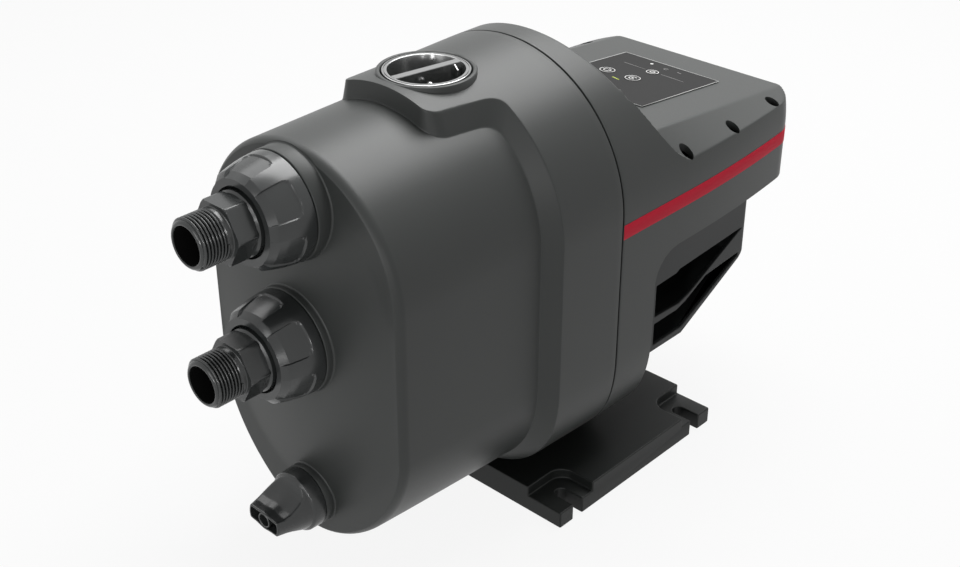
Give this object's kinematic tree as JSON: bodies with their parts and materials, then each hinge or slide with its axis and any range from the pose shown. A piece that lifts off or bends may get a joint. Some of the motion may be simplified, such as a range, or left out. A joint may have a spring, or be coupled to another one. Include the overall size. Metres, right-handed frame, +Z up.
{
  "type": "booster pump unit",
  "caption": "Self-priming water booster pump: rounded front tank with two threaded unions, priming and drain plugs, arched motor cover with control panel, slotted base plate.",
  "frame": {"origin": "centre of the base plate's bottom face, on the floor", "axes": "+Z up, +Y from the ports towards the controller end, +X to the right when facing +Y"},
  "size_m": [0.2206, 0.495, 0.3165],
  "materials": {
    "body_plastic": "satin moulded",
    "base_plastic": "matt moulded",
    "union_plastic": "satin moulded",
    "black_plastic": "matt moulded",
    "film": "satin printed film",
    "film_key": "satin printed film",
    "red_stripe": "satin inlay",
    "rubber": "matt",
    "zinc_steel": "zinc plated",
    "steel": "machined",
    "lamination": "stamped laminations",
    "cast_aluminium": "die cast",
    "copper": "enamelled wire",
    "board": "solder mask",
    "ceramic": "lapped ceramic",
    "hydraulic_plastic": "glass filled moulding",
    "brass_fitting": "machined"
  },
  "bodies": {
    "body": {"base_plate": "base_plastic", "base_screws": "zinc_steel", "pump_housing": "body_plastic", "bracket": "cast_aluminium", "bracket_seal": "rubber", "rear_cover": "body_plastic", "cover_screws": "zinc_steel", "tray": "black_plastic", "control_film": "film", "circuit_board": "board", "capacitors": "black_plastic", "heat_sink": "cast_aluminium", "stripe_left": "red_stripe", "stripe_right": "red_stripe", "motor_frame": "cast_aluminium", "stator_core": "lamination", "winding_front": "copper", "winding_rear": "copper", "end_shield": "cast_aluminium", "front_bearing": "steel", "rear_bearing": "steel", "fan_cover": "black_plastic", "cable_gland": "black_plastic", "gland_nut": "black_plastic", "seal_seat": "ceramic", "diffuser_1": "hydraulic_plastic", "diffuser_2": "hydraulic_plastic", "pump_sleeve": "steel", "suction_cover": "steel", "valve_cage": "hydraulic_plastic", "valve_spring": "steel", "pressure_sensor": "brass_fitting"},
    "rotor": {"shaft": "steel", "rotor_core": "lamination", "fan": "black_plastic", "seal_ring": "rubber", "impeller_1": "hydraulic_plastic", "impeller_2": "hydraulic_plastic", "shaft_nut": "steel"},
    "upper_union": {"upper_connector": "union_plastic", "upper_gasket": "rubber"},
    "upper_union_nut": {"upper_nut": "union_plastic"},
    "lower_union": {"lower_connector": "union_plastic", "lower_gasket": "rubber"},
    "lower_union_nut": {"lower_nut": "union_plastic"},
    "priming_seal": {"priming_ring": "rubber"},
    "priming_cap": {"priming_plug": "body_plastic"},
    "drain_seal": {"drain_ring": "rubber"},
    "drain_cap": {"drain_plug": "union_plastic"},
    "valve": {"valve_poppet": "black_plastic"},
    "power_key": {"button_power": "film_key"},
    "mode_key": {"button_mode": "film_key"},
    "set_key": {"button_set": "film_key"}
  },
  "joints": [
    {"name": "rotor_spin", "type": "hinge", "parent": "body", "child": "rotor", "pos_m": [0, 0, 0.146], "axis": [0, 1, 0], "continuous": true},
    {"name": "upper_nut_slide", "type": "slide", "parent": "body", "child": "upper_union", "axis": [0, -1, 0], "range_m": [0, 0.012]},
    {"name": "upper_nut_turn", "type": "hinge", "parent": "upper_union", "child": "upper_union_nut", "pos_m": [0, -0.2555, 0.265], "axis": [0, -1, 0], "range_deg": [0, 1080]},
    {"name": "lower_nut_slide", "type": "slide", "parent": "body", "child": "lower_union", "axis": [0, -1, 0], "range_m": [0, 0.012]},
    {"name": "lower_nut_turn", "type": "hinge", "parent": "lower_union", "child": "lower_union_nut", "pos_m": [0, -0.2555, 0.171], "axis": [0, -1, 0], "range_deg": [0, 1080]},
    {"name": "priming_plug_slide", "type": "slide", "parent": "body", "child": "priming_seal", "axis": [0, 0, 1], "range_m": [0, 0.012]},
    {"name": "priming_plug_turn", "type": "hinge", "parent": "priming_seal", "child": "priming_cap", "pos_m": [0, -0.101, 0.3153], "axis": [0, 0, 1], "range_deg": [0, 1080]},
    {"name": "drain_plug_slide", "type": "slide", "parent": "body", "child": "drain_seal", "axis": [0, -1, 0], "range_m": [0, 0.01]},
    {"name": "drain_plug_turn", "type": "hinge", "parent": "drain_seal", "child": "drain_cap", "pos_m": [0, -0.258, 0.0475], "axis": [0, -1, 0], "range_deg": [0, 1440]},
    {"name": "valve_lift", "type": "slide", "parent": "body", "child": "valve", "axis": [0, 1, 0], "range_m": [0, 0.012], "stiffness_N_per_m": 120, "deforming": ["valve_spring"]},
    {"name": "power_press", "type": "slide", "parent": "body", "child": "power_key", "axis": [0, -0.098, -0.9952], "range_m": [0, 0.0005], "stiffness_N_per_m": 1500},
    {"name": "mode_press", "type": "slide", "parent": "body", "child": "mode_key", "axis": [0, -0.098, -0.9952], "range_m": [0, 0.0005], "stiffness_N_per_m": 1500},
    {"name": "set_press", "type": "slide", "parent": "body", "child": "set_key", "axis": [0, -0.098, -0.9952], "range_m": [0, 0.0005], "stiffness_N_per_m": 1500}
  ],
  "couplings": [
    {"joint": "upper_nut_slide", "follows": "upper_nut_turn", "m_per_rad": 0.00063662},
    {"joint": "lower_nut_slide", "follows": "lower_nut_turn", "m_per_rad": 0.00063662},
    {"joint": "priming_plug_slide", "follows": "priming_plug_turn", "m_per_rad": 0.00063662},
    {"joint": "drain_plug_slide", "follows": "drain_plug_turn", "m_per_rad": 0.00039789}
  ]
}
